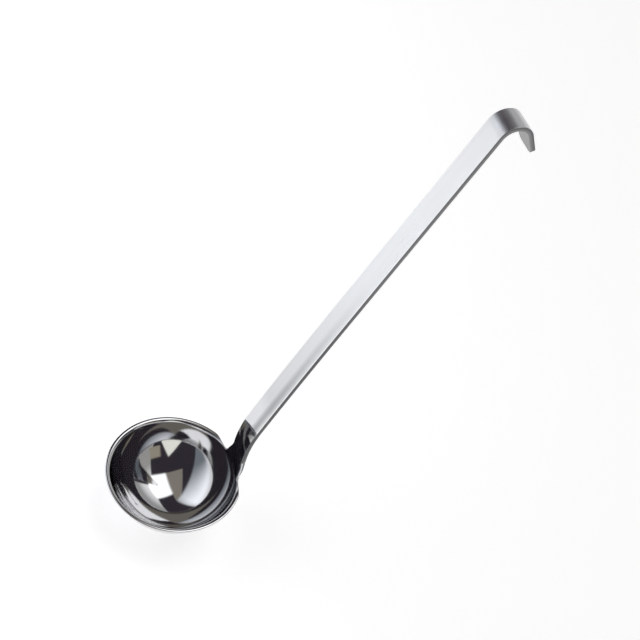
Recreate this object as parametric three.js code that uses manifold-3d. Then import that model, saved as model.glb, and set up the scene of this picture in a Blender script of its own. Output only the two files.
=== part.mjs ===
// Soup ladle in stainless steel: a drawn bowl with a turned lip and a short neck, a flat bar
// handle bent into a hanging hook, and the two weld runs that join the neck to the bar.
// Millimetres, +Z up, bowl mouth level, handle rising towards +X, hook bent back from the bowl.
// The origin is the top of the hook's inside, where a rail bears.

import * as THREE from 'three';
import Module from 'manifold-3d';
import { mergeVertices } from 'three/addons/utils/BufferGeometryUtils.js';

// Bowl: a sphere cap inside, drawn from one sheet
const mouthRadius = 41.8;
const bowlDepth = 32.6;
const bowlWall = 1.4;

// Lip: the sheet's edge, turned outwards past level and cut off straight beside the neck
const lipTopRadius = 2.5;
const lipDroop = 20;
const lipCutInset = 4.8;

// Neck: the tab of the bowl's sheet that stands up towards the handle
const neckHeight = 12;
const neckWidth = 22;
const neckCornerRadius = 2.4;
const neckFlatHeight = 9;
const neckRoot = 3;

// Handle bar
const barThickness = 3;
const barWidthAtNeck = 17.3;
const barWidthAtHook = 15.8;
const barChamfer = 0.4;
const bendHeight = 14.2;
const bendRadius = 100;
const bendAngle = 72;
const bowLength = 100;
const straightLength = 160.5;
const handleAngle = 70.65;

// Hook
const hookInsideRadius = 8.5;
const hookTurn = 134;
const hookTipLength = 15;
const tipCornerRadius = 3.5;

// Weld runs, with the gap that keeps neighbouring solids apart
const weldFrontHalf = 1.5;
const weldRootHalf = 0.5;
const weldBackLeg = 10;
const weldBackKnee = 6.4;
const weldGap = 0.3;

// Steps along the curves
const bowlSegments = 64;
const bowlSteps = 12;
const lipSteps = 5;
const neckSteps = 6;
const neckColumns = 12;
const bendSteps = 5;
const bowSteps = 4;
const hookSteps = 18;
const tipSteps = 4;

const wasm = await Module();
wasm.setup();

const degrees = THREE.MathUtils.degToRad;
const mirrorSteel = { color: 0xb9bcc0, metalness: 1, roughness: 0.06 };
const satinSteel = { color: 0xc9ccd0, metalness: 1, roughness: 0.28 };
const weldSteel = { color: 0xb4b6b9, metalness: 1, roughness: 0.2 };

// Values that follow from the driving dimensions
const bowlInsideRadius = (mouthRadius ** 2 + bowlDepth ** 2) / (2 * bowlDepth);
const capAngle = 2 * Math.atan(bowlDepth / mouthRadius);
const lipCutFromAxis = mouthRadius - lipCutInset;
const lipRise = lipTopRadius * (1 - Math.cos(capAngle));
const rimHeight = -lipRise;
const sphereHeight = rimHeight + bowlInsideRadius * Math.cos(capAngle);
const hookOutsideRadius = hookInsideRadius + barThickness;
const barStartHeight = neckHeight + weldRootHalf + weldGap;
const neckTopHeight = neckHeight - weldRootHalf - weldGap;
const bevelRise = weldFrontHalf - weldRootHalf;

function solidFrom(geometry) {
  const bare = geometry.clone();
  bare.deleteAttribute('normal');
  bare.deleteAttribute('uv');
  const merged = mergeVertices(bare, 1e-5);
  const corners = merged.index.array;
  const triangles = [];
  for (let i = 0; i < corners.length; i += 3) {
    const [a, b, c] = corners.subarray(i, i + 3);
    if (a !== b && b !== c && c !== a) triangles.push(a, b, c);
  }
  const vertProperties = new Float32Array(merged.attributes.position.array);
  const triVerts = new Uint32Array(triangles);
  return new wasm.Manifold(new wasm.Mesh({ numProp: 3, vertProperties, triVerts }));
}

function geometryFrom(solid) {
  const mesh = solid.getMesh();
  const geometry = new THREE.BufferGeometry();
  geometry.setAttribute('position', new THREE.BufferAttribute(mesh.vertProperties, 3));
  geometry.setIndex(new THREE.BufferAttribute(mesh.triVerts, 1));
  geometry.computeVertexNormals();
  return geometry;
}

// A closed slab lofted through rows: each row has as many points on its front as on its back.
function slabGeometry(rows) {
  const columns = rows[0].front.length;
  const points = rows.flatMap((row) => [...row.front, ...row.back]);
  const front = (i, j) => i * 2 * columns + j;
  const back = (i, j) => front(i, j) + columns;
  const triangles = [];
  const quad = (a, b, c, d) => triangles.push(a, b, c, a, c, d);
  const last = rows.length - 1;
  const edge = columns - 1;
  for (let i = 0; i < last; i += 1) {
    for (let j = 0; j < edge; j += 1) {
      quad(front(i, j), front(i + 1, j), front(i + 1, j + 1), front(i, j + 1));
      quad(back(i, j), back(i, j + 1), back(i + 1, j + 1), back(i + 1, j));
    }
    quad(front(i, 0), back(i, 0), back(i + 1, 0), front(i + 1, 0));
    quad(front(i, edge), front(i + 1, edge), back(i + 1, edge), back(i, edge));
  }
  for (let j = 0; j < edge; j += 1) {
    quad(front(0, j), front(0, j + 1), back(0, j + 1), back(0, j));
    quad(front(last, j), back(last, j), back(last, j + 1), front(last, j + 1));
  }
  const geometry = new THREE.BufferGeometry().setFromPoints(points);
  geometry.setIndex(triangles);
  geometry.computeVertexNormals();
  return geometry;
}

// The bowl's half section, from the inside bottom over the lip to the outside bottom.
function bowlProfile() {
  const inside = [];
  const outside = [];
  for (let i = 0; i <= bowlSteps; i += 1) {
    const angle = (capAngle * i) / bowlSteps;
    const outsideRadius = bowlInsideRadius + bowlWall;
    const down = sphereHeight - bowlInsideRadius * Math.cos(angle);
    const downOutside = sphereHeight - outsideRadius * Math.cos(angle);
    inside.push(new THREE.Vector2(bowlInsideRadius * Math.sin(angle), down));
    outside.push(new THREE.Vector2(outsideRadius * Math.sin(angle), downOutside));
  }
  const lipCentre = new THREE.Vector2(
    mouthRadius + lipTopRadius * Math.sin(capAngle),
    rimHeight - lipTopRadius * Math.cos(capAngle),
  );
  const underRadius = lipTopRadius - bowlWall;
  for (let i = 1; i <= lipSteps; i += 1) {
    const lean = -capAngle + ((capAngle + degrees(lipDroop)) * i) / lipSteps;
    const outwards = new THREE.Vector2(Math.sin(lean), Math.cos(lean));
    inside.push(lipCentre.clone().addScaledVector(outwards, lipTopRadius));
    outside.push(lipCentre.clone().addScaledVector(outwards, underRadius));
  }
  return [...outside, ...inside.reverse()];
}

// Half the neck's width: it sweeps in from the lip by a corner fillet, then narrows to the bar.
function neckHalfAt(height) {
  const half = neckWidth / 2;
  const aboveRim = Math.max(height - rimHeight, 0);
  if (aboveRim < neckCornerRadius) {
    const drop = neckCornerRadius - aboveRim;
    return half + neckCornerRadius - Math.sqrt(neckCornerRadius ** 2 - drop ** 2);
  }
  const share = THREE.MathUtils.smoothstep(aboveRim, neckCornerRadius, neckHeight - rimHeight);
  return THREE.MathUtils.lerp(half, barWidthAtNeck / 2, share);
}

// One row across the neck. Its curve in plan is the bowl's at the rim and runs out above.
function neckRow(frontHeight, backHeight) {
  const row = { front: [], back: [] };
  const straightness = THREE.MathUtils.smoothstep(frontHeight, rimHeight, neckFlatHeight);
  const curvature = (1 - straightness) / mouthRadius;
  for (let j = 0; j <= neckColumns; j += 1) {
    const y = neckHalfAt(frontHeight) * ((2 * j) / neckColumns - 1);
    const turn = Math.asin(y * curvature);
    const sag = y * Math.tan(turn / 2);
    const offset = bowlWall * Math.cos(turn);
    const spread = bowlWall * Math.sin(turn);
    const x = mouthRadius - sag + insideDrop(frontHeight);
    row.front.push(new THREE.Vector3(x, y, frontHeight));
    row.back.push(new THREE.Vector3(x + offset, y + spread, backHeight));
  }
  return row;
}

// How far the inside wall has drawn in below the rim, as a negative offset.
function insideDrop(height) {
  if (height >= rimHeight) return 0;
  const below = sphereHeight - height;
  return Math.sqrt(bowlInsideRadius ** 2 - below ** 2) - mouthRadius;
}

function bowlGeometry() {
  const shell = new THREE.LatheGeometry(bowlProfile(), bowlSegments);
  shell.rotateX(Math.PI / 2);
  const lipReach = mouthRadius + 2 * lipTopRadius;
  const cutLength = lipReach - lipCutFromAxis;
  const cutHeight = 2 * lipTopRadius;
  const lipCut = new THREE.BoxGeometry(cutLength, 2 * lipReach, cutHeight);
  lipCut.translate(lipCutFromAxis + cutLength / 2, 0, rimHeight + cutHeight / 2);
  const bottom = rimHeight - neckRoot;
  const rows = [neckRow(bottom, bottom), neckRow(rimHeight, rimHeight)];
  for (let i = 1; i <= neckSteps; i += 1) {
    const rise = neckCornerRadius * (1 - Math.cos((i * Math.PI) / (2 * neckSteps)));
    rows.push(neckRow(rimHeight + rise, rimHeight + rise));
  }
  const frontTop = neckTopHeight - bevelRise;
  for (let i = 1; i <= neckSteps; i += 1) {
    const height = THREE.MathUtils.lerp(rimHeight + neckCornerRadius, frontTop, i / neckSteps);
    rows.push(neckRow(height, i === neckSteps ? neckTopHeight : height));
  }
  const neck = solidFrom(slabGeometry(rows));
  return geometryFrom(solidFrom(shell).subtract(solidFrom(lipCut)).add(neck));
}

// The bar's front face as stations: where it is, which way it runs and how wide it is there.
// Above the bend it goes on leaning back a little over a long bow, then runs straight to the hook.
function handleStations() {
  const stations = [];
  const bendLean = degrees(90 - bendAngle);
  const lean = degrees(90 - handleAngle);
  const add = (x, z, angle, width) => stations.push({ x, z, angle, width });
  const bendCentre = mouthRadius + bendRadius;
  for (let i = 0; i <= bendSteps; i += 1) {
    const turn = (bendLean * i) / bendSteps;
    const x = bendCentre - bendRadius * Math.cos(turn);
    add(x, bendHeight + bendRadius * Math.sin(turn), Math.PI / 2 - turn, barWidthAtNeck);
  }
  const bendEnd = stations.at(-1);
  const bowRadius = bowLength / (lean - bendLean);
  const bowShare = bowLength / (bowLength + straightLength);
  for (let i = 1; i <= bowSteps; i += 1) {
    const turn = THREE.MathUtils.lerp(bendLean, lean, i / bowSteps);
    const x = bendEnd.x + bowRadius * (Math.cos(bendLean) - Math.cos(turn));
    const z = bendEnd.z + bowRadius * (Math.sin(turn) - Math.sin(bendLean));
    const width = THREE.MathUtils.lerp(barWidthAtNeck, barWidthAtHook, (bowShare * i) / bowSteps);
    add(x, z, Math.PI / 2 - turn, width);
  }
  const hookCentre = hookCentreFrom(stations.at(-1));
  for (let i = 0; i <= hookSteps; i += 1) {
    const angle = degrees(handleAngle - (hookTurn * i) / hookSteps);
    const x = hookCentre.x - hookOutsideRadius * Math.sin(angle);
    add(x, hookCentre.z + hookOutsideRadius * Math.cos(angle), angle, barWidthAtHook);
  }
  const tipStart = stations.at(-1);
  for (let i = 0; i <= tipSteps; i += 1) {
    const corner = (i * Math.PI) / (2 * tipSteps);
    const reach = hookTipLength - tipCornerRadius * (1 - Math.sin(corner));
    const width = barWidthAtHook - 2 * tipCornerRadius * (1 - Math.cos(corner));
    const x = tipStart.x + reach * Math.cos(tipStart.angle);
    add(x, tipStart.z + reach * Math.sin(tipStart.angle), tipStart.angle, width);
  }
  return stations;
}

function hookCentreFrom(straightStart) {
  const angle = degrees(handleAngle);
  return {
    x: straightStart.x + straightLength * Math.cos(angle) + hookOutsideRadius * Math.sin(angle),
    z: straightStart.z + straightLength * Math.sin(angle) - hookOutsideRadius * Math.cos(angle),
  };
}

// One row across the bar: the edge columns sit in by the chamfer on both faces.
function barRow({ x, z, angle, width }) {
  const row = { front: [], back: [] };
  const half = width / 2;
  const columns = [
    [-half, barChamfer], [barChamfer - half, 0], [half - barChamfer, 0], [half, barChamfer],
  ];
  for (const [y, inset] of columns) {
    const depth = barThickness - inset;
    row.front.push(new THREE.Vector3(x + inset * Math.sin(angle), y, z - inset * Math.cos(angle)));
    row.back.push(new THREE.Vector3(x + depth * Math.sin(angle), y, z - depth * Math.cos(angle)));
  }
  return row;
}

// The bar's lower end is bevelled on its front for the weld.
function handleGeometry() {
  const stations = handleStations();
  const start = { ...stations[0], z: barStartHeight };
  const foot = barRow(start);
  foot.front.forEach((point) => { point.z += bevelRise; });
  return slabGeometry([foot, ...stations.map(barRow)]);
}

// A weld run: its section in the handle's side plane, drawn out across the bar.
function weldGeometry(section, width) {
  const shape = new THREE.Shape(section.map(([x, z]) => new THREE.Vector2(x, z)));
  const run = new THREE.ExtrudeGeometry(shape, { depth: width, bevelEnabled: false });
  run.rotateX(Math.PI / 2);
  run.translate(0, width / 2, 0);
  return run;
}

// The front run fills the bevelled groove, flush with the front face.
function frontWeldGeometry() {
  const front = mouthRadius;
  const root = mouthRadius + bowlWall;
  const section = [
    [front, neckHeight - weldFrontHalf],
    [root, neckHeight - weldRootHalf],
    [root, neckHeight + weldRootHalf],
    [front, neckHeight + weldFrontHalf],
  ];
  return weldGeometry(section, barWidthAtNeck);
}

// The back run fills the step from the thicker bar to the neck's thin sheet, ground to a long taper.
function backWeldGeometry() {
  const inner = mouthRadius + bowlWall + weldGap;
  const outer = mouthRadius + barThickness - barChamfer;
  const top = barStartHeight - weldGap;
  const bottom = top - weldBackLeg;
  const kneeShare = Math.sin((Math.PI / 2) * (weldBackKnee / weldBackLeg));
  const section = [
    [inner, bottom],
    [THREE.MathUtils.lerp(inner, outer, kneeShare), bottom + weldBackKnee],
    [outer, top],
    [inner, top],
  ];
  return weldGeometry(section, barWidthAtNeck - 2 * barChamfer);
}

function part(name, geometry, finish) {
  const mesh = new THREE.Mesh(geometry, new THREE.MeshStandardMaterial(finish));
  mesh.name = name;
  return mesh;
}

const ladle = new THREE.Group();
ladle.name = 'ladle';
ladle.add(
  part('bowl', bowlGeometry(), mirrorSteel),
  part('handle', handleGeometry(), satinSteel),
  part('weld_front', frontWeldGeometry(), weldSteel),
  part('weld_back', backWeldGeometry(), weldSteel),
);

// The hook's seat becomes the origin.
const hookCentre = hookCentreFrom(handleStations()[bendSteps + bowSteps]);
ladle.position.set(-hookCentre.x, 0, -(hookCentre.z + hookInsideRadius));

export default ladle;
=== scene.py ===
import math

import bmesh
import bpy
from mathutils import Matrix, Vector


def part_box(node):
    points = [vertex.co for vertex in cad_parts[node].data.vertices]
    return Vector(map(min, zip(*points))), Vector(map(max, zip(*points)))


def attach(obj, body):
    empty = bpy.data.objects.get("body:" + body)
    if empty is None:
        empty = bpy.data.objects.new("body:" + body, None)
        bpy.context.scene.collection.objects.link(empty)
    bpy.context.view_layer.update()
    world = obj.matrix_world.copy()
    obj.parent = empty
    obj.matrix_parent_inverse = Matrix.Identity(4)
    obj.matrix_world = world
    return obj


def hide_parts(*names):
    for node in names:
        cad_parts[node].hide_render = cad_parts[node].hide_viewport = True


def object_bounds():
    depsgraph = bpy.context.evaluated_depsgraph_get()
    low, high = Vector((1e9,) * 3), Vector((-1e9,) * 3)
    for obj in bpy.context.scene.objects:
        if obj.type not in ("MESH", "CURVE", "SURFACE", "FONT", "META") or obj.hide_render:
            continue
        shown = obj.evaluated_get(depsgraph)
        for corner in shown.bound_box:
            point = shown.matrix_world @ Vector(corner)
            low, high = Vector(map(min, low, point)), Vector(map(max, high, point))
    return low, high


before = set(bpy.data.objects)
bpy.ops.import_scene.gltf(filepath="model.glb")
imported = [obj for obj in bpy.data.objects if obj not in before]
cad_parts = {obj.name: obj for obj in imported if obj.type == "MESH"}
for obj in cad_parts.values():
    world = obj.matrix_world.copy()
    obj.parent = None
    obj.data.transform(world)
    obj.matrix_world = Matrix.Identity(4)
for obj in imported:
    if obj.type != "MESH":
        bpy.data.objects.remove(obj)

cadLow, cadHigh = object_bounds()
mm = 0.001
scene = bpy.context.scene


def smoothStep(low, high, value):
    share = min(max((value - low) / (high - low), 0.0), 1.0)
    return share * share * (3.0 - 2.0 * share)


def mix(a, b, share):
    return a + (b - a) * share


# Mesh helpers

def smoothMesh(name, bm, sharpAngle=math.pi):
    mesh = bpy.data.meshes.new(name)
    bm.to_mesh(mesh)
    bm.free()
    mesh.polygons.foreach_set("use_smooth", [True] * len(mesh.polygons))
    mesh.set_sharp_from_angle(angle=sharpAngle)
    return mesh


def joinRows(bm, below, row):
    for j in range(len(row) - 1):
        bm.faces.new((below[j], row[j], row[j + 1], below[j + 1]))


def pieceFromMesh(name, mesh, material, node):
    mesh.materials.clear()
    mesh.materials.append(material)
    piece = bpy.data.objects.new(name, mesh)
    scene.collection.objects.link(piece)
    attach(piece, "root")
    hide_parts(node)
    return piece


# Node helpers for the finishes
noiseLow, noiseHigh = 0.3, 0.7   # most of a noise's values lie between these
bumpDepth = 0.02 * mm


def addNode(tree, kind, **settings):
    node = tree.nodes.new(kind)
    for key, value in settings.items():
        setattr(node, key, value)
    return node


def newMaterial(name):
    material = bpy.data.materials.new(name)
    material.use_nodes = True
    tree = material.node_tree
    return material, tree, tree.nodes["Principled BSDF"]


def newMetal(name):
    material, tree, shader = newMaterial(name)
    shader.inputs["Metallic"].default_value = 1.0
    return material, tree, shader


def objectPlace(tree):
    return addNode(tree, "ShaderNodeTexCoord").outputs["Object"]


def noiseFrom(tree, vector, scale, detail=3.0, roughness=0.5):
    noise = addNode(tree, "ShaderNodeTexNoise")
    noise.inputs["Scale"].default_value = scale
    noise.inputs["Detail"].default_value = detail
    noise.inputs["Roughness"].default_value = roughness
    tree.links.new(vector, noise.inputs["Vector"])
    return noise.outputs["Fac"]


def stretched(tree, vector, scale):
    mapping = addNode(tree, "ShaderNodeMapping")
    mapping.inputs["Scale"].default_value = scale
    tree.links.new(vector, mapping.inputs["Vector"])
    return mapping.outputs["Vector"]


# A value between fromLow and fromHigh, carried over to low and high
def ranged(tree, value, low, high, fromLow=noiseLow, fromHigh=noiseHigh, easing="LINEAR"):
    ranger = addNode(tree, "ShaderNodeMapRange", interpolation_type=easing)
    ranger.inputs["From Min"].default_value = fromLow
    ranger.inputs["From Max"].default_value = fromHigh
    ranger.inputs["To Min"].default_value = low
    ranger.inputs["To Max"].default_value = high
    tree.links.new(value, ranger.inputs["Value"])
    return ranger.outputs["Result"]


def tinted(tree, value, dark, light):
    ramp = addNode(tree, "ShaderNodeValToRGB")
    ends = ramp.color_ramp.elements
    for end, position, colour in zip(ends, (noiseLow, noiseHigh), (dark, light)):
        end.position = position
        end.color = (*colour, 1)
    tree.links.new(value, ramp.inputs["Fac"])
    return ramp.outputs["Color"]


def worked(tree, operation, a, b=0.0, clamp=False):
    node = addNode(tree, "ShaderNodeMath", operation=operation, use_clamp=clamp)
    for socket, value in zip(node.inputs, (a, b)):
        if isinstance(value, (int, float)):
            socket.default_value = value
        else:
            tree.links.new(value, socket)
    return node.outputs[0]


def scaled(tree, vector, amount):
    node = addNode(tree, "ShaderNodeVectorMath", operation="SCALE")
    tree.links.new(vector, node.inputs[0])
    tree.links.new(amount, node.inputs["Scale"])
    return node.outputs["Vector"]


def layered(tree, below, above, mask):
    layer = addNode(tree, "ShaderNodeMix", data_type="RGBA")
    tree.links.new(mask, layer.inputs[0])
    for socket, colour in ((layer.inputs[6], below), (layer.inputs[7], above)):
        if isinstance(colour, tuple):
            socket.default_value = (*colour, 1)
        else:
            tree.links.new(colour, socket)
    return layer.outputs[2]


def splitVector(tree, vector):
    split = addNode(tree, "ShaderNodeSeparateXYZ")
    tree.links.new(vector, split.inputs["Vector"])
    return [split.outputs[axis] for axis in "XYZ"]


def joinedVector(tree, x, y, z):
    join = addNode(tree, "ShaderNodeCombineXYZ")
    for socket, value in zip(join.inputs, (x, y, z)):
        tree.links.new(value, socket)
    return join.outputs["Vector"]


def mixedShader(tree, mask, below, above):
    shown = addNode(tree, "ShaderNodeMixShader")
    tree.links.new(mask, shown.inputs[0])
    tree.links.new(below.outputs[0], shown.inputs[1])
    tree.links.new(above.outputs[0], shown.inputs[2])
    return shown


def bumped(tree, height, strength, shader):
    bump = addNode(tree, "ShaderNodeBump")
    bump.inputs["Strength"].default_value = strength
    bump.inputs["Distance"].default_value = bumpDepth
    tree.links.new(height, bump.inputs["Height"])
    tree.links.new(bump.outputs["Normal"], shader.inputs["Normal"])


# Bowl, lip and neck: one sheet, so its sizes stay together
bowlSizes = {
    "depth": 32.6 * mm,
    "mouthRadius": 41.8 * mm,
    "wall": 1.4 * mm,
    "lipTopRadius": 2.5 * mm,
    "lipDroop": math.radians(20),
    "lipFullFrom": math.radians(34.5),   # the roll grows from the neck to here, measured round the bowl
    "lipLeast": 0.03,                    # share of the roll that is left beside the neck
    "neckTop": 11.4 * mm,                # end of the sheet under the weld
    "neckWidth": 22 * mm,
    "neckCornerRadius": 2.4 * mm,
    "neckFlatHeight": 9 * mm,            # the wall's curve in plan has run out here
    "neckEaseDepth": 8 * mm,             # the wall starts to stand up this far under the mouth
    "neckMiddle": 0.35,                  # share of the neck's spread that stands up fully
    "edgeRound": 0.45 * mm,
    "rings": 64,
    "lipColumns": 220,
    "neckColumns": 44,
    "lipSteps": 12,
    "neckSteps": 14,
    "edgeSteps": 6,
}

# Values that follow from the bowl's sizes
insideRadius = (bowlSizes["mouthRadius"] ** 2 + bowlSizes["depth"] ** 2) / (2 * bowlSizes["depth"])
capAngle = 2 * math.atan(bowlSizes["depth"] / bowlSizes["mouthRadius"])
rimHeight = -bowlSizes["lipTopRadius"] * (1 - math.cos(capAngle))
sphereHeight = rimHeight + insideRadius * math.cos(capAngle)
neckSpread = math.asin(
    (bowlSizes["neckWidth"] / 2 + bowlSizes["neckCornerRadius"]) / bowlSizes["mouthRadius"]
)

# The mouth's centre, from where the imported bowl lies
bowlLow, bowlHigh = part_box("bowl")
lipRadius = (bowlHigh.y - bowlLow.y) / 2
outsideDepth = insideRadius + bowlSizes["wall"] - sphereHeight
mouthCentre = Vector((bowlLow.x + lipRadius, 0, bowlLow.z + outsideDepth))
print("frame: mouth centre", [round(v, 4) for v in mouthCentre])

# Mirror polish: faint smears and buffing marks on a clear reflection
mirrorLook = {
    "colours": [(0.590, 0.593, 0.605), (0.630, 0.632, 0.640)],
    "smears": 55,
    "roughness": (0.05, 0.085),
    "buffing": (1800, 260, 900),
    "bump": 0.012,
}


def mirrorPolish():
    material, tree, shader = newMetal("mirrorPolish")
    place = objectPlace(tree)
    smears = noiseFrom(tree, place, mirrorLook["smears"], detail=4)
    buffing = noiseFrom(tree, stretched(tree, place, mirrorLook["buffing"]), 1, detail=2)
    tree.links.new(tinted(tree, smears, *mirrorLook["colours"]), shader.inputs["Base Color"])
    tree.links.new(ranged(tree, smears, *mirrorLook["roughness"]), shader.inputs["Roughness"])
    bumped(tree, buffing, mirrorLook["bump"], shader)
    return material


def sphereRadiusAt(height):
    return math.sqrt(insideRadius ** 2 - (sphereHeight - height) ** 2)


# The neck's middle line leaves the sphere on a tangent and ends upright
def neckFrontAt(height):
    start = -bowlSizes["neckEaseDepth"]
    startRadius = sphereRadiusAt(start)
    slope = (sphereHeight - start) / startRadius
    length = 2 * (bowlSizes["mouthRadius"] - startRadius) / slope
    if height >= start + length:
        return bowlSizes["mouthRadius"]
    if height <= start:
        return sphereRadiusAt(height)
    return bowlSizes["mouthRadius"] - slope / (2 * length) * (start + length - height) ** 2


def neckShare(turn):
    return smoothStep(1.0, bowlSizes["neckMiddle"], abs(turn) / neckSpread)


def wallRadiusAt(height, turn):
    plain = sphereRadiusAt(height) if height < rimHeight else bowlSizes["mouthRadius"]
    if abs(turn) >= neckSpread:
        return plain
    return mix(plain, neckFrontAt(height), neckShare(turn))


# Half the neck's width: rounded corners at the rim, then narrowing to the bar
def neckHalfAt(height):
    half = bowlSizes["neckWidth"] / 2
    corner = bowlSizes["neckCornerRadius"]
    aboveRim = height - rimHeight
    if aboveRim < corner:
        return half + corner - math.sqrt(corner ** 2 - (corner - aboveRim) ** 2)
    share = smoothStep(corner, weldSizes["height"] - rimHeight, aboveRim)
    return mix(half, barSide, share)


# How far the neck has turned from the wall's curve to flat
def neckStraightness(height):
    return smoothStep(rimHeight, bowlSizes["neckFlatHeight"], height)


def neckPoint(height, turn):
    radius = wallRadiusAt(height, turn)
    y = neckHalfAt(height) * math.sin(turn) / math.sin(neckSpread)
    y *= radius / bowlSizes["mouthRadius"]
    sag = y * math.tan(turn * (1 - neckStraightness(height)) / 2)
    return Vector((radius - sag, y, height))


# The lip's roll at one turn round the bowl, which runs out towards the neck
def lipPoint(share, turn):
    top = bowlSizes["lipTopRadius"]
    centreRadius = bowlSizes["mouthRadius"] + top * math.sin(capAngle)
    fromNeck = min(turn, 2 * math.pi - turn) - neckSpread
    grown = min(max(fromNeck / (bowlSizes["lipFullFrom"] - neckSpread), bowlSizes["lipLeast"]), 1.0)
    lean = mix(-capAngle, mix(-capAngle, bowlSizes["lipDroop"], grown), share)
    radius = centreRadius + top * math.sin(lean)
    height = rimHeight - top * math.cos(capAngle) + top * math.cos(lean)
    return Vector((radius * math.cos(turn), radius * math.sin(turn), height))


def neckHeights():
    corner = bowlSizes["neckCornerRadius"]
    steps = bowlSizes["neckSteps"]
    heights = []
    for i in range(1, steps + 1):
        heights.append(rimHeight + corner * (1 - math.cos(i * math.pi / 2 / steps)))
    for i in range(1, 2 * steps + 1):
        heights.append(mix(rimHeight + corner, bowlSizes["neckTop"], i / (2 * steps)))
    return heights


# Rings of the cap from its pole to the rim, and the rim's points
def capRings(bm, turns):
    pole = bm.verts.new((0, 0, sphereHeight - insideRadius))
    rings = []
    for i in range(1, bowlSizes["rings"] + 1):
        height = sphereHeight - insideRadius * math.cos(capAngle * i / bowlSizes["rings"])
        ring = []
        for turn in turns:
            signedTurn = turn - 2 * math.pi if turn > math.pi else turn
            radius = wallRadiusAt(min(height, rimHeight), signedTurn)
            ring.append(bm.verts.new((radius * math.cos(turn), radius * math.sin(turn), height)))
        rings.append(ring + ring[:1])
    for here, there in zip(rings[0], rings[0][1:]):
        bm.faces.new((pole, here, there))
    for low, high in zip(rings, rings[1:]):
        joinRows(bm, low, high)
    return rings[-1]


# The sheet's inside surface: the cap, then neck rows and lip rows above the rim
def bowlSheet(bm):
    neckCount = bowlSizes["neckColumns"]
    lipCount = bowlSizes["lipColumns"]
    lipSweep = 2 * math.pi - 2 * neckSpread
    turns = [mix(-neckSpread, neckSpread, i / neckCount) for i in range(neckCount)]
    turns += [neckSpread + lipSweep * i / lipCount for i in range(lipCount)]
    rim = capRings(bm, turns)

    below = rim[:neckCount + 1]
    for height in neckHeights():
        row = [bm.verts.new(neckPoint(height, turn)) for turn in turns[:neckCount + 1]]
        joinRows(bm, below, row)
        below = row

    lipTurns = turns[neckCount:] + [2 * math.pi - neckSpread]
    below = rim[neckCount:]
    for i in range(1, bowlSizes["lipSteps"] + 1):
        row = [bm.verts.new(lipPoint(i / bowlSizes["lipSteps"], turn)) for turn in lipTurns]
        joinRows(bm, below, row)
        below = row


# For each point of a sheet's border, the direction that leads off the sheet
def borderDirections(borderEdges):
    outward = {}
    for edge in borderEdges:
        face = edge.link_faces[0]
        along = edge.verts[1].co - edge.verts[0].co
        away = along.cross(face.normal).normalized()
        middle = (edge.verts[0].co + edge.verts[1].co) / 2
        if away.dot(middle - face.calc_center_median()) < 0:
            away.negate()
        for vert in edge.verts:
            outward[vert] = outward.get(vert, Vector()) + away * edge.calc_length()
    return outward


# Gives a sheet its wall and a rounded edge all the way round
def thicken(bm, wall, edgeRound, edgeSteps):
    bm.normal_update()
    front = list(bm.verts)
    frontFaces = list(bm.faces)
    borderEdges = [edge for edge in bm.edges if edge.is_boundary]
    outward = borderDirections(borderEdges)
    back = {vert: bm.verts.new(vert.co - vert.normal * wall) for vert in front}
    rounds = {}
    for vert, away in outward.items():
        centre = (vert.co + back[vert].co) / 2
        half = vert.co - centre
        away.normalize()
        arc = [vert]
        for i in range(1, edgeSteps):
            angle = math.pi * i / edgeSteps
            place = centre + half * math.cos(angle) + away * edgeRound * math.sin(angle)
            arc.append(bm.verts.new(place))
        arc.append(back[vert])
        rounds[vert] = arc
    for edge in borderEdges:
        face = edge.link_faces[0]
        loop = next(loop for loop in face.loops if loop.edge == edge)
        first = rounds[loop.vert]
        second = rounds[loop.link_loop_next.vert]
        for i in range(edgeSteps):
            bm.faces.new((second[i], first[i], first[i + 1], second[i + 1]))
    for face in frontFaces:
        bm.faces.new([back[vert] for vert in reversed(face.verts)])


def makeBowl(material):
    bm = bmesh.new()
    bowlSheet(bm)
    thicken(bm, bowlSizes["wall"], bowlSizes["edgeRound"], bowlSizes["edgeSteps"])
    bmesh.ops.translate(bm, vec=mouthCentre, verts=bm.verts)
    mesh = smoothMesh("bowlSheet", bm)
    pieceFromMesh("ladleBowl", mesh, material, "bowl")
    print("bowl:", len(mesh.polygons), "faces")


# Handle: one flat bar from the weld to the hook's tip
barSizes = {
    "thickness": 3 * mm,
    "widthAtNeck": 17.3 * mm,
    "widthAtHook": 15.8 * mm,
    "edgeRadius": 0.32 * mm,
    "edgeSteps": 5,
    "foot": 12.6 * mm,             # lower end above the mouth
    "bendHeight": 14.2 * mm,
    "bendRadius": 100 * mm,        # of the front face
    "bendAngle": math.radians(72),
    "bow": 100 * mm,               # above the bend it leans back a little more over this length
    "straight": 160.5 * mm,
    "angle": math.radians(70.65),
    "hookInsideRadius": 8.5 * mm,
    "hookTurn": math.radians(134),
    "tipLength": 15 * mm,
    "tipCorner": 3.5 * mm,
    "pathStep": 0.9 * mm,
    "bendSteps": 30,
    "bowSteps": 30,
    "hookSteps": 60,
    "endBevel": 0.192 * mm,        # at the foot and the tip
    "endBevelSteps": 3,
    "sharpFrom": math.radians(50),
    "flatWeight": 80,              # how much the large faces decide the shading
}
barFront = barSizes["thickness"] / 2   # from the middle line
barSide = barSizes["widthAtNeck"] / 2

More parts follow.
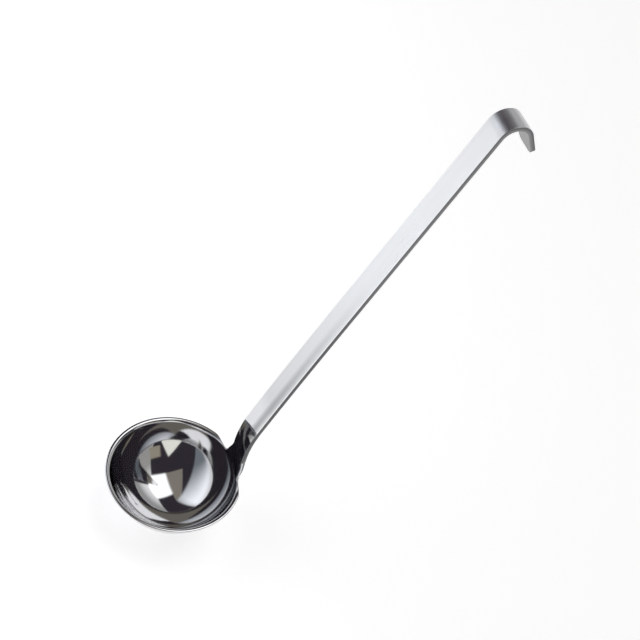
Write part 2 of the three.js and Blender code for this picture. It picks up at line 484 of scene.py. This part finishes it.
# Bar finish: a polished front that turns satin towards the hook, and ground edges and back whose dark
# colour is partly painted shade. The front's colour carries painted shade, a painted shadow and painted
# highlights.
# In a group of four, the first two values hold at the two places on the bar that follow them.
barLook = {
    # the edges' and back's dark colour: partly ground steel, partly painted shade
    "plain": [(0.165, 0.167, 0.171), (0.225, 0.227, 0.230)],
    "polished": [(0.690, 0.698, 0.714), (0.735, 0.743, 0.759)],
    "polishFrom": (0, 1, barFront - 0.15 * mm, barFront - 0.08 * mm),       # through the thickness
    "paintedFrontShading": (0.81, 0.96, 60 * mm, 280 * mm),                           # along, painted shade: darker low on the bar, lighter towards the hook
    "paintedNeckHighlight": (0.92, 0.80, 44 * mm, 56 * mm),                             # along, a painted highlight: brighter by the neck
    "paintedShadowTone": (0.48, 0.0, 30 * mm, 168 * mm),                            # along, a painted shadow: a darker strip, the reflection of a shadow
    "paintedShadowSpread": (1, 0, 0.8 * mm, 4.2 * mm),                              # off the painted shadow's middle
    "paintedShadowMiddle": -4.1 * mm,
    "paintedEdgeHighlight": (1, 0, 0.9 * mm - barSide, 1.5 * mm - barSide),               # across, a painted highlight: a bright border along one edge
    "paintedEdgeShade": (0.65, 1.05, 100 * mm, 200 * mm),                           # along, painted shade on the edges: darker towards the neck
    "paintedEdgeShadeBack": (1.25, 0.65, 0.3 * mm - barFront, barFront - 0.4 * mm),     # through the thickness, painted shade: darker towards the front corner
    "satin": (0.04, 0.36, 20 * mm, 290 * mm),                               # along
    "satinClouds": (0.85, 1.15),
    "plainRoughness": (0.30, 0.42),
    "lines": (14, 3200, 3200),
    "clouds": (18, 60, 60),
    "bump": 0.05,
}


def barFinishWithPaintedLight():
    material, tree, shader = newMetal("barFinishWithPaintedLight")
    place = addNode(tree, "ShaderNodeAttribute", attribute_name="barPlace").outputs["Vector"]
    along, across, through = splitVector(tree, place)
    lines = noiseFrom(tree, stretched(tree, place, barLook["lines"]), 1, detail=4, roughness=0.6)
    clouds = noiseFrom(tree, stretched(tree, place, barLook["clouds"]), 1, detail=3)
    front = ranged(tree, through, *barLook["polishFrom"])

    # painted shade on the edges and back: darker towards the neck and towards the front corner
    paintedEdgeShadeAlong = ranged(tree, along, *barLook["paintedEdgeShade"])
    paintedEdgeShadeThrough = ranged(tree, through, *barLook["paintedEdgeShadeBack"])
    paintedEdgeShade = worked(tree, "MULTIPLY", paintedEdgeShadeAlong, paintedEdgeShadeThrough)
    plainColourWithPaintedShade = scaled(tree, tinted(tree, lines, *barLook["plain"]), paintedEdgeShade)

    # painted shadow: a darker strip down one side of the front, the reflection of a shadow
    offMiddle = worked(tree, "ABSOLUTE", worked(tree, "SUBTRACT", across, barLook["paintedShadowMiddle"]))
    paintedShadowAcross = ranged(tree, offMiddle, *barLook["paintedShadowSpread"])
    paintedShadowAlong = ranged(tree, along, *barLook["paintedShadowTone"])
    strip = worked(tree, "MULTIPLY", paintedShadowAcross, paintedShadowAlong)
    # painted shade along the front: darker low on the bar, lighter towards the hook, with a painted
    # highlight by the neck
    paintedShadeAlongBar = ranged(tree, along, *barLook["paintedFrontShading"])
    paintedNeckHighlight = ranged(tree, along, *barLook["paintedNeckHighlight"])
    paintedFrontShading = worked(tree, "MAXIMUM", paintedShadeAlongBar, paintedNeckHighlight)
    paintedFrontShading = worked(tree, "MULTIPLY", paintedFrontShading, worked(tree, "SUBTRACT", 1, strip))
    # painted highlight: a bright border along one edge of the front
    paintedFrontShading = worked(tree, "MAXIMUM", paintedFrontShading, ranged(tree, across, *barLook["paintedEdgeHighlight"]))
    frontColourWithPaintedLight = scaled(tree, tinted(tree, lines, *barLook["polished"]), paintedFrontShading)
    tree.links.new(layered(tree, plainColourWithPaintedShade, frontColourWithPaintedLight, front), shader.inputs["Base Color"])

    satinAlong = ranged(tree, along, *barLook["satin"])
    satin = worked(tree, "MULTIPLY", satinAlong, ranged(tree, clouds, *barLook["satinClouds"]))
    plainRoughness = ranged(tree, lines, *barLook["plainRoughness"])
    tree.links.new(layered(tree, plainRoughness, satin, front), shader.inputs["Roughness"])
    bumped(tree, lines, barLook["bump"], shader)
    return material


# A point of the bar's middle line, from the front face and the bar's angle there
def middleFromFront(x, z, angle):
    return Vector((x + barFront * math.sin(angle), 0, z - barFront * math.cos(angle)))


# The bar's middle line as a chain of points: foot, bend, long bow, straight, hook and tip
def barPath():
    front = bowlSizes["mouthRadius"]
    points = [middleFromFront(front, barSizes["foot"], math.pi / 2)]
    radius = barSizes["bendRadius"]
    bendLean = math.pi / 2 - barSizes["bendAngle"]
    for i in range(barSizes["bendSteps"] + 1):
        lean = bendLean * i / barSizes["bendSteps"]
        x = front + radius * (1 - math.cos(lean))
        z = barSizes["bendHeight"] + radius * math.sin(lean)
        points.append(middleFromFront(x, z, math.pi / 2 - lean))
    taperFrom = len(points) - 1
    lastLean = math.pi / 2 - barSizes["angle"]
    bowRadius = barSizes["bow"] / (lastLean - bendLean)
    bowX = x + bowRadius * math.cos(bendLean)
    bowZ = z - bowRadius * math.sin(bendLean)
    for i in range(1, barSizes["bowSteps"] + 1):
        lean = mix(bendLean, lastLean, i / barSizes["bowSteps"])
        x = bowX - bowRadius * math.cos(lean)
        z = bowZ + bowRadius * math.sin(lean)
        points.append(middleFromFront(x, z, math.pi / 2 - lean))
    hookRadius = barSizes["hookInsideRadius"] + barSizes["thickness"]
    angle = barSizes["angle"]
    hookX = x + barSizes["straight"] * math.cos(angle) + hookRadius * math.sin(angle)
    hookZ = z + barSizes["straight"] * math.sin(angle) - hookRadius * math.cos(angle)
    taperTo = len(points)
    for i in range(barSizes["hookSteps"] + 1):
        angle = barSizes["angle"] - barSizes["hookTurn"] * i / barSizes["hookSteps"]
        x = hookX - hookRadius * math.sin(angle)
        z = hookZ + hookRadius * math.cos(angle)
        points.append(middleFromFront(x, z, angle))
    x += barSizes["tipLength"] * math.cos(angle)
    z += barSizes["tipLength"] * math.sin(angle)
    points.append(middleFromFront(x, z, angle))
    lengths = [0.0]
    for here, there in zip(points, points[1:]):
        lengths.append(lengths[-1] + (there - here).length)
    return points, lengths[taperFrom], lengths[taperTo], lengths[-1]


def captured(tree, curve, kind, name, value):
    capture = addNode(tree, "GeometryNodeCaptureAttribute", domain="POINT")
    capture.capture_items.new(kind, name)
    tree.links.new(curve, capture.inputs["Geometry"])
    tree.links.new(value, capture.inputs[name])
    return capture.outputs["Geometry"], capture.outputs[name]


# The bar's section, a rounded rectangle, with each point's place on it
def barSection(tree, source):
    section = addNode(tree, "GeometryNodeCurvePrimitiveQuadrilateral", mode="RECTANGLE")
    tree.links.new(source["Width At Neck"], section.inputs["Width"])
    tree.links.new(source["Thickness"], section.inputs["Height"])
    rounded = addNode(tree, "GeometryNodeFilletCurve", mode="POLY")
    tree.links.new(section.outputs["Curve"], rounded.inputs["Curve"])
    tree.links.new(source["Edge Radius"], rounded.inputs["Radius"])
    tree.links.new(source["Edge Steps"], rounded.inputs["Count"])
    position = addNode(tree, "GeometryNodeInputPosition").outputs["Position"]
    return captured(tree, rounded.outputs["Curve"], "VECTOR", "Section", position)


# The width's share along the bar: 1 at the neck, narrower at the hook, round corners at the tip
def barWidthShare(tree, source, along):
    taperRun = worked(tree, "SUBTRACT", source["Taper End"], source["Taper Start"])
    intoTaper = worked(tree, "SUBTRACT", along, source["Taper Start"])
    taperDone = worked(tree, "DIVIDE", intoTaper, taperRun, clamp=True)
    hookShare = worked(tree, "DIVIDE", source["Width At Hook"], source["Width At Neck"])
    narrowing = worked(tree, "MULTIPLY", worked(tree, "SUBTRACT", hookShare, 1), taperDone)
    share = worked(tree, "ADD", narrowing, 1)
    tipStart = worked(tree, "SUBTRACT", source["Path Length"], source["Tip Corner"])
    intoTip = worked(tree, "SUBTRACT", along, tipStart)
    tipDone = worked(tree, "DIVIDE", intoTip, source["Tip Corner"], clamp=True)
    squareLeft = worked(tree, "SUBTRACT", 1, worked(tree, "MULTIPLY", tipDone, tipDone))
    chord = worked(tree, "SQRT", squareLeft)
    loss = worked(tree, "MULTIPLY", worked(tree, "SUBTRACT", 1, chord), source["Tip Corner"])
    tipShare = worked(tree, "DIVIDE", worked(tree, "MULTIPLY", loss, 2), source["Width At Neck"])
    return worked(tree, "SUBTRACT", share, tipShare)


# Geometry Nodes: the section run along the path
def barTree(material):
    tree = bpy.data.node_groups.new("barAlongPath", "GeometryNodeTree")
    tree.interface.new_socket("Geometry", in_out="INPUT", socket_type="NodeSocketGeometry")
    for name in ("Width At Neck", "Width At Hook", "Thickness", "Edge Radius", "Path Step",
                 "Taper Start", "Taper End", "Path Length", "Tip Corner"):
        tree.interface.new_socket(name, in_out="INPUT", socket_type="NodeSocketFloat")
    tree.interface.new_socket("Edge Steps", in_out="INPUT", socket_type="NodeSocketInt")
    tree.interface.new_socket("Geometry", in_out="OUTPUT", socket_type="NodeSocketGeometry")
    source = addNode(tree, "NodeGroupInput").outputs
    sink = addNode(tree, "NodeGroupOutput").inputs
    link = tree.links.new

    resample = addNode(tree, "GeometryNodeResampleCurve", mode="LENGTH")
    link(source["Geometry"], resample.inputs["Curve"])
    link(source["Path Step"], resample.inputs["Length"])
    facing = addNode(tree, "GeometryNodeSetCurveNormal", mode="FREE")
    facing.inputs["Normal"].default_value = (0, 1, 0)
    link(resample.outputs["Curve"], facing.inputs["Curve"])
    length = addNode(tree, "GeometryNodeSplineParameter").outputs["Length"]
    path, along = captured(tree, facing.outputs["Curve"], "FLOAT", "Along", length)
    section, sectionPlace = barSection(tree, source)
    swept = addNode(tree, "GeometryNodeCurveToMesh")
    swept.inputs["Fill Caps"].default_value = True
    link(path, swept.inputs["Curve"])
    link(section, swept.inputs["Profile Curve"])

    position = addNode(tree, "GeometryNodeInputPosition").outputs["Position"]
    x, y, z = splitVector(tree, position)
    narrowed = worked(tree, "MULTIPLY", y, barWidthShare(tree, source, along))
    placed = addNode(tree, "GeometryNodeSetPosition")
    link(swept.outputs["Mesh"], placed.inputs["Geometry"])
    link(joinedVector(tree, x, narrowed, z), placed.inputs["Position"])

    # the finish needs the place on the bar: along, across and through the thickness
    across, through, _ = splitVector(tree, sectionPlace)
    store = addNode(tree, "GeometryNodeStoreNamedAttribute", data_type="FLOAT_VECTOR", domain="POINT")
    store.inputs["Name"].default_value = "barPlace"
    link(placed.outputs["Geometry"], store.inputs["Geometry"])
    link(joinedVector(tree, along, across, through), store.inputs["Value"])

    realize = addNode(tree, "GeometryNodeRealizeInstances")
    finish = addNode(tree, "GeometryNodeSetMaterial")
    finish.inputs["Material"].default_value = material
    link(store.outputs["Geometry"], realize.inputs["Geometry"])
    link(realize.outputs["Geometry"], finish.inputs["Geometry"])
    link(finish.outputs["Geometry"], sink["Geometry"])
    return tree


def evaluatedMesh(piece):
    evaluated = piece.evaluated_get(bpy.context.evaluated_depsgraph_get())
    mesh = bpy.data.meshes.new_from_object(evaluated)
    piece.modifiers.clear()
    return mesh


def makeHandle(material):
    points, taperStart, taperEnd, pathLength = barPath()
    curve = bpy.data.curves.new("barPath", "CURVE")
    curve.dimensions = "3D"
    spline = curve.splines.new("POLY")
    spline.points.add(len(points) - 1)
    for point, place in zip(spline.points, points):
        point.co = (*(place + mouthCentre), 1)
    guide = bpy.data.objects.new("barGuide", curve)
    scene.collection.objects.link(guide)
    tree = barTree(material)
    modifier = guide.modifiers.new("bar", "NODES")
    modifier.node_group = tree
    values = {
        "Width At Neck": barSizes["widthAtNeck"],
        "Width At Hook": barSizes["widthAtHook"],
        "Thickness": barSizes["thickness"],
        "Edge Radius": barSizes["edgeRadius"],
        "Edge Steps": barSizes["edgeSteps"],
        "Path Step": barSizes["pathStep"],
        "Taper Start": taperStart,
        "Taper End": taperEnd,
        "Path Length": pathLength,
        "Tip Corner": barSizes["tipCorner"],
    }
    for item in tree.interface.items_tree:
        if item.in_out == "INPUT" and item.name in values:
            modifier[item.identifier] = values[item.name]
    mesh = evaluatedMesh(guide)
    bpy.data.objects.remove(guide)
    mesh.name = "handleBar"
    mesh.polygons.foreach_set("use_smooth", [True] * len(mesh.polygons))
    handle = pieceFromMesh("ladleHandle", mesh, material, "handle")
    endEdges = handle.modifiers.new("endEdges", "BEVEL")
    endEdges.limit_method = "ANGLE"
    endEdges.angle_limit = barSizes["sharpFrom"]
    endEdges.width = barSizes["endBevel"]
    endEdges.segments = barSizes["endBevelSteps"]
    flatFaces = handle.modifiers.new("flatFaces", "WEIGHTED_NORMAL")
    flatFaces.weight = barSizes["flatWeight"]
    flatFaces.keep_sharp = False
    handle.data = evaluatedMesh(handle)
    print("handle:", len(handle.data.polygons), "faces, path", round(pathLength, 4), "m")


# Weld runs, in front of the joint and behind it
weldSizes = {
    "height": 12 * mm,             # the joint's middle above the mouth
    "sharpFrom": math.radians(40),
    "frontHalf": 2.2 * mm,         # half its height
    "proud": 0.006 * mm,
    "frontSkin": 0.25 * mm,        # depth at its upper and lower end
    "rootHalf": 0.4 * mm,          # half its height at the sheet's back
    "frontSteps": 24,
    "faceSteps": 12,
    "backLeg": 15 * mm,            # how far it runs down from the bar
    "backOverlap": 0.6 * mm,       # over the bar's foot
    "backBite": 0.3 * mm,          # into the sheet
    "backLeast": 0.03 * mm,        # thickness at its lower end
    "backSide": 0.02 * mm,         # past the neck's sides
    "backRound": 0.4 * mm,
    "backFan": 0.5,                # share of the sheet's turn that its sides follow
    "backSteps": 36,
    "backColumns": 28,
    "roundSteps": 4,
}

# Weld finishes: faint cross marks on polished metal, and dull scratches on ground metal whose dark colour
# is partly painted shade
weldLooks = {
    "weldPolish": {
        "colours": [(0.580, 0.582, 0.592), (0.630, 0.632, 0.640)],
        "roughness": (0.03, 0.07),
        "marks": (900, 90, 2600),
        "detail": 3,
        "bump": 0.02,
    },
    # ground steel: its roughness and scratches are real, its dark colour is partly painted shade
    "groundSteelWithPaintedShade": {
        "colours": [(0.175, 0.177, 0.181), (0.235, 0.237, 0.240)],
        "roughness": (0.28, 0.42),
        "marks": (700, 120, 2400),
        "detail": 4,
        "bump": 0.08,
    },
}


def weldFinish(name):
    look = weldLooks[name]
    material, tree, shader = newMetal(name)
    marks = noiseFrom(tree, stretched(tree, objectPlace(tree), look["marks"]), 1, detail=look["detail"])
    tree.links.new(tinted(tree, marks, *look["colours"]), shader.inputs["Base Color"])
    tree.links.new(ranged(tree, marks, *look["roughness"]), shader.inputs["Roughness"])
    bumped(tree, marks, look["bump"], shader)
    return material


# A closed loft through rows of the same section
def loftRows(name, rows):
    bm = bmesh.new()
    rings = [[bm.verts.new(point) for point in row] for row in rows]
    count = len(rings[0])
    for low, high in zip(rings, rings[1:]):
        for j in range(count):
            k = (j + 1) % count
            bm.faces.new((low[j], low[k], high[k], high[j]))
    bm.faces.new(list(reversed(rings[0])))
    bm.faces.new(rings[-1])
    bmesh.ops.recalc_face_normals(bm, faces=bm.faces)
    bmesh.ops.translate(bm, vec=mouthCentre, verts=bm.verts)
    return smoothMesh(name, bm, weldSizes["sharpFrom"])


# Front run: ground flush, a hair proud of the sheet and the bar
def makeFrontWeld(material):
    front = bowlSizes["mouthRadius"]
    back = front + bowlSizes["wall"]
    skin = front + weldSizes["frontSkin"]
    middle = weldSizes["height"]
    tall = weldSizes["frontHalf"]
    root = weldSizes["rootHalf"]
    half = barSide - barSizes["edgeRadius"]
    outline = []
    for k in range(weldSizes["faceSteps"] + 1):
        offset = mix(-1, 1, k / weldSizes["faceSteps"])
        outline.append((front - weldSizes["proud"], middle + offset * tall))
    outline += [(skin, middle + tall), (back, middle + root), (back, middle - root), (skin, middle - tall)]
    rows = []
    for i in range(weldSizes["frontSteps"] + 1):
        y = mix(-half, half, i / weldSizes["frontSteps"])
        rows.append([Vector((x, y, z)) for x, z in outline])
    mesh = loftRows("weldFrontRun", rows)
    pieceFromMesh("ladleWeldFront", mesh, material, "weld_front")
    print("front weld:", len(mesh.polygons), "faces")


# A point behind the neck, at a distance from the sheet's back
def backWeldPoint(height, y, fromSheet):
    turn = math.asin(y * (1 - neckStraightness(height)) / bowlSizes["mouthRadius"])
    sag = y * math.tan(turn / 2)
    away = bowlSizes["wall"] + fromSheet
    x = bowlSizes["mouthRadius"] - sag + away * math.cos(turn)
    return Vector((x, y + away * math.sin(turn) * weldSizes["backFan"], height))


# One section of the back run: along the sheet, round one corner, across the back, round the other
def backWeldRow(height, half, depth):
    corner = min(weldSizes["backRound"], depth)
    columns = weldSizes["backColumns"]
    steps = weldSizes["roundSteps"]
    angles = [j * math.pi / 2 / steps for j in range(steps + 1)]
    outline = [(mix(half, -half, j / columns), -weldSizes["backBite"]) for j in range(columns + 1)]
    for angle in angles:
        outline.append((corner * (1 - math.cos(angle)) - half, depth - corner * (1 - math.sin(angle))))
    for j in range(1, columns):
        outline.append((mix(-half + corner, half - corner, j / columns), depth))
    for angle in angles:
        outline.append((half - corner * (1 - math.sin(angle)), depth - corner * (1 - math.cos(angle))))
    return [backWeldPoint(height, y, fromSheet) for y, fromSheet in outline]


# Back run: fills the step from bar to sheet and follows the neck's outline, ground to a long taper
def makeBackWeld(material):
    top = barSizes["foot"] + weldSizes["backOverlap"]
    bottom = top - weldSizes["backLeg"]
    fullDepth = barSizes["thickness"] - bowlSizes["wall"]
    rows = []
    for i in range(weldSizes["backSteps"] + 1):
        share = i / weldSizes["backSteps"]
        height = mix(bottom, top, share)
        depth = max(fullDepth * math.sin(share * math.pi / 2), weldSizes["backLeast"])
        half = neckHalfAt(height) + weldSizes["backSide"]
        rows.append(backWeldRow(height, half, depth))
    mesh = loftRows("weldBackRun", rows)
    pieceFromMesh("ladleWeldBack", mesh, material, "weld_back")
    print("back weld:", len(mesh.polygons), "faces")


# Studio: a dark room with cards overhead, white towards the floor, the same for every ray.
# Corners lie on a ceiling one unit up, +X and +Y as on the part, counterclockwise.
studio = {
    "room": (0.043, 0.036, 0.047),
    "floorWhite": (1.0, 1.0, 1.0),
    "whiteBelow": 10,        # degrees above the horizon
    "whiteBlend": 2,         # degrees to either side
    "lowestRise": 0.02,      # keeps the ceiling from running off at the horizon
    "cards": [
        {"name": "back card", "soft": 0.03,
         "corners": [(0.58, 0.3), (0.8, -0.02), (14, -0.1), (14, 14), (0.58, 14)],
         "colour": (1.10, 1.10, 1.10), "far": (0.42, 0.418, 0.415), "fade": [(0.6, 0.3), (1.1, 0.8)]},
        {"name": "right card", "soft": 0.03,
         "corners": [(0.62, -0.17), (0.68, -0.55), (4.1, -13.9), (14, -8.9)],
         "colour": (0.95, 0.95, 0.94), "far": (0.44, 0.43, 0.415), "fade": [(0.62, -0.2), (1.1, -0.8)]},
        {"name": "warm corner", "soft": 0.08,
         "corners": [(0.28, -1.25), (0.55, -3.0), (1.7, -3.0), (0.85, -1.2)],
         "colour": (0.40, 0.36, 0.285)},
        {"name": "front window", "soft": 0.05,
         "corners": [(-0.45, -1.6), (-7.9, -14), (2.5, -14), (-0.1, -1.15)],
         "colour": (1.12, 1.12, 1.02)},
        {"name": "ceiling strip", "soft": 0.02,
         "corners": [(-0.12, 0.68), (-0.52, -0.43), (0.1, -0.38), (0.02, 0.62)],
         "colour": (0.30, 0.273, 0.235)},
        {"name": "key softbox", "soft": 0.05,
         "corners": [(0.04, 0.33), (0.1, -0.38), (0.7, -0.36), (0.85, 0.03), (0.6, 0.5)],
         "colour": (1.8, 1.8, 1.8)},
    ],
}

# The side reflector hangs close by, so it is a real card: its height is above the mouth
reflector = {
    "height": 0.5,
    "low": (-6.2, -5.2),
    "high": (0.5, 6.2),
    "soft": 0.07,
    "endSoft": 0.32,   # the near end, between the first two corners
    "corners": [(0.02, 0.70), (-0.30, 1.35), (-2.6, 6), (-6, 6), (-6, -5.03)],
    "colour": (0.22, 0.245, 0.275),
    "far": (1.45, 1.48, 1.55),
    "fade": [(-0.8, -0.45), (-1.1, 1.25)],
    "outer": (0.92, 0.93, 0.95),
    "outerFade": [(-1.1, 1.0), (-2.0, 1.9)],
}


# How far a place lies along a line of the ceiling, as a share between two distances
def lineShare(tree, place, normal, offset, low, high):
    along = addNode(tree, "ShaderNodeVectorMath", operation="DOT_PRODUCT")
    tree.links.new(place, along.inputs[0])
    along.inputs[1].default_value = (normal.x, normal.y, -offset)
    return ranged(tree, along.outputs["Value"], 0.0, 1.0, low, high, "SMOOTHSTEP")


def cardMask(tree, place, card):
    corners = [Vector(corner) for corner in card["corners"]]
    mask = None
    soft = card.get("endSoft", card["soft"])
    for here, there in zip(corners, corners[1:] + corners[:1]):
        run = (there - here).normalized()
        inward = Vector((-run.y, run.x))
        share = lineShare(tree, place, inward, inward.dot(here), -soft, soft)
        soft = card["soft"]
        mask = worked(tree, "MULTIPLY", mask, share) if mask else share
    return mask


def cardColour(tree, place, card):
    colour = card["colour"]
    for fade, end in (("fade", "far"), ("outerFade", "outer")):
        if fade in card:
            near, far = [Vector(point) for point in card[fade]]
            run = (far - near).normalized()
            share = lineShare(tree, place, run, run.dot(near), 0.0, (far - near).length)
            colour = layered(tree, colour, card[end], share)
    return colour


def makeStudio():
    world = bpy.data.worlds.new("studio")
    world.use_nodes = True
    scene.world = world
    tree = world.node_tree
    direction = addNode(tree, "ShaderNodeTexCoord").outputs["Generated"]
    _, _, height = splitVector(tree, direction)
    rise = worked(tree, "MAXIMUM", height, studio["lowestRise"])
    place = scaled(tree, direction, worked(tree, "DIVIDE", 1.0, rise))
    colour = studio["room"]
    for card in studio["cards"]:
        colour = layered(tree, colour, cardColour(tree, place, card), cardMask(tree, place, card))
    whiteTo = math.sin(math.radians(studio["whiteBelow"] - studio["whiteBlend"]))
    darkFrom = math.sin(math.radians(studio["whiteBelow"] + studio["whiteBlend"]))
    low = ranged(tree, height, 1.0, 0.0, whiteTo, darkFrom, "SMOOTHSTEP")
    colour = layered(tree, colour, studio["floorWhite"], low)
    tree.links.new(colour, tree.nodes["Background"].inputs["Color"])
    print("studio:", ", ".join(card["name"] for card in studio["cards"]))


# A material whose surface the caller puts together from other shaders
def newGlow(name):
    material, tree, shader = newMaterial(name)
    tree.nodes.remove(shader)
    return material, tree, tree.nodes["Material Output"].inputs["Surface"]


def stageSheet(name, bm, material):
    mesh = smoothMesh(name + "Sheet", bm)
    mesh.materials.append(material)
    sheet = bpy.data.objects.new(name, mesh)
    scene.collection.objects.link(sheet)
    return sheet


def makeReflector():
    height = reflector["height"]
    lowX, lowY = reflector["low"]
    highX, highY = reflector["high"]
    material, tree, surface = newGlow("reflectorGlow")
    fromMouth = addNode(tree, "ShaderNodeVectorMath", operation="SUBTRACT")
    tree.links.new(objectPlace(tree), fromMouth.inputs[0])
    fromMouth.inputs[1].default_value = mouthCentre
    place = stretched(tree, fromMouth.outputs["Vector"], (1 / height, 1 / height, 1 / height))
    glow = addNode(tree, "ShaderNodeEmission")
    tree.links.new(cardColour(tree, place, reflector), glow.inputs["Color"])
    clear = addNode(tree, "ShaderNodeBsdfTransparent")
    shown = mixedShader(tree, cardMask(tree, place, reflector), clear, glow)
    tree.links.new(shown.outputs[0], surface)
    bm = bmesh.new()
    corners = [(lowX, lowY, 1), (highX, lowY, 1), (highX, highY, 1), (lowX, highY, 1)]
    bm.faces.new([bm.verts.new(mouthCentre + Vector(corner) * height) for corner in corners])
    card = stageSheet("sideReflector", bm, material)
    card.visible_camera = False
    print("reflector:", round(height, 2), "m above the mouth")


# Floor: pale, lit by the studio, with enough glow of its own to read as white
floorLook = {"size": 14.0, "squares": 8, "colour": (0.86, 0.86, 0.86), "glow": 0.57}


def makeFloor():
    material, tree, surface = newGlow("paleFloor")
    diffuse = addNode(tree, "ShaderNodeBsdfDiffuse")
    diffuse.inputs["Color"].default_value = (*floorLook["colour"], 1)
    glow = addNode(tree, "ShaderNodeEmission")
    glow.inputs["Strength"].default_value = floorLook["glow"]
    nothing = addNode(tree, "ShaderNodeEmission")
    nothing.inputs["Strength"].default_value = 0.0
    path = addNode(tree, "ShaderNodeLightPath")
    seen = path.outputs["Is Camera Ray"]
    for name in ("Is Glossy Ray", "Is Transmission Ray"):
        seen = worked(tree, "MAXIMUM", seen, path.outputs[name])
    total = addNode(tree, "ShaderNodeAddShader")
    tree.links.new(diffuse.outputs[0], total.inputs[0])
    tree.links.new(mixedShader(tree, seen, nothing, glow).outputs[0], total.inputs[1])
    tree.links.new(total.outputs[0], surface)
    bm = bmesh.new()
    squares = floorLook["squares"]
    bmesh.ops.create_grid(bm, x_segments=squares, y_segments=squares, size=floorLook["size"] / 2)
    bmesh.ops.translate(bm, vec=(mouthCentre.x, 0, cadLow[2]), verts=bm.verts)
    stageSheet("studioFloor", bm, material)
    print("floor:", floorLook["size"], "m wide")


# Camera at the photograph's angle, placed from the mouth's centre along its own axes
view = {
    "azimuth": math.radians(-124.54),
    "elevation": math.radians(46.71),
    "roll": math.radians(19.85),
    "right": 95.8 * mm,
    "up": 100.2 * mm,
    "back": 861.0 * mm,
    "lens": 73.65,
    "sensor": 36.0,
    "clipStart": 10 * mm,
}


def makeCamera():
    data = bpy.data.cameras.new("viewCamera")
    data.lens = view["lens"]
    data.sensor_width = view["sensor"]
    data.clip_start = view["clipStart"]
    camera = bpy.data.objects.new("viewCamera", data)
    scene.collection.objects.link(camera)
    azimuth = view["azimuth"]
    elevation = view["elevation"]
    flat = math.cos(elevation)
    back = Vector((flat * math.cos(azimuth), flat * math.sin(azimuth), math.sin(elevation)))
    level = Vector((-math.sin(azimuth), math.cos(azimuth), 0))
    rise = back.cross(level)
    right = level * math.cos(view["roll"]) + rise * math.sin(view["roll"])
    up = back.cross(right)
    place = mouthCentre + right * view["right"] + up * view["up"] + back * view["back"]
    axes = Matrix((right, up, back)).transposed().to_4x4()
    camera.matrix_world = Matrix.Translation(place) @ axes
    scene.camera = camera
    print("camera:", [round(v, 4) for v in place])


scene.view_settings.view_transform = "Standard"
makeCamera()
makeStudio()
makeReflector()
makeFloor()
makeBowl(mirrorPolish())
makeHandle(barFinishWithPaintedLight())
makeFrontWeld(weldFinish("weldPolish"))
makeBackWeld(weldFinish("groundSteelWithPaintedShade"))
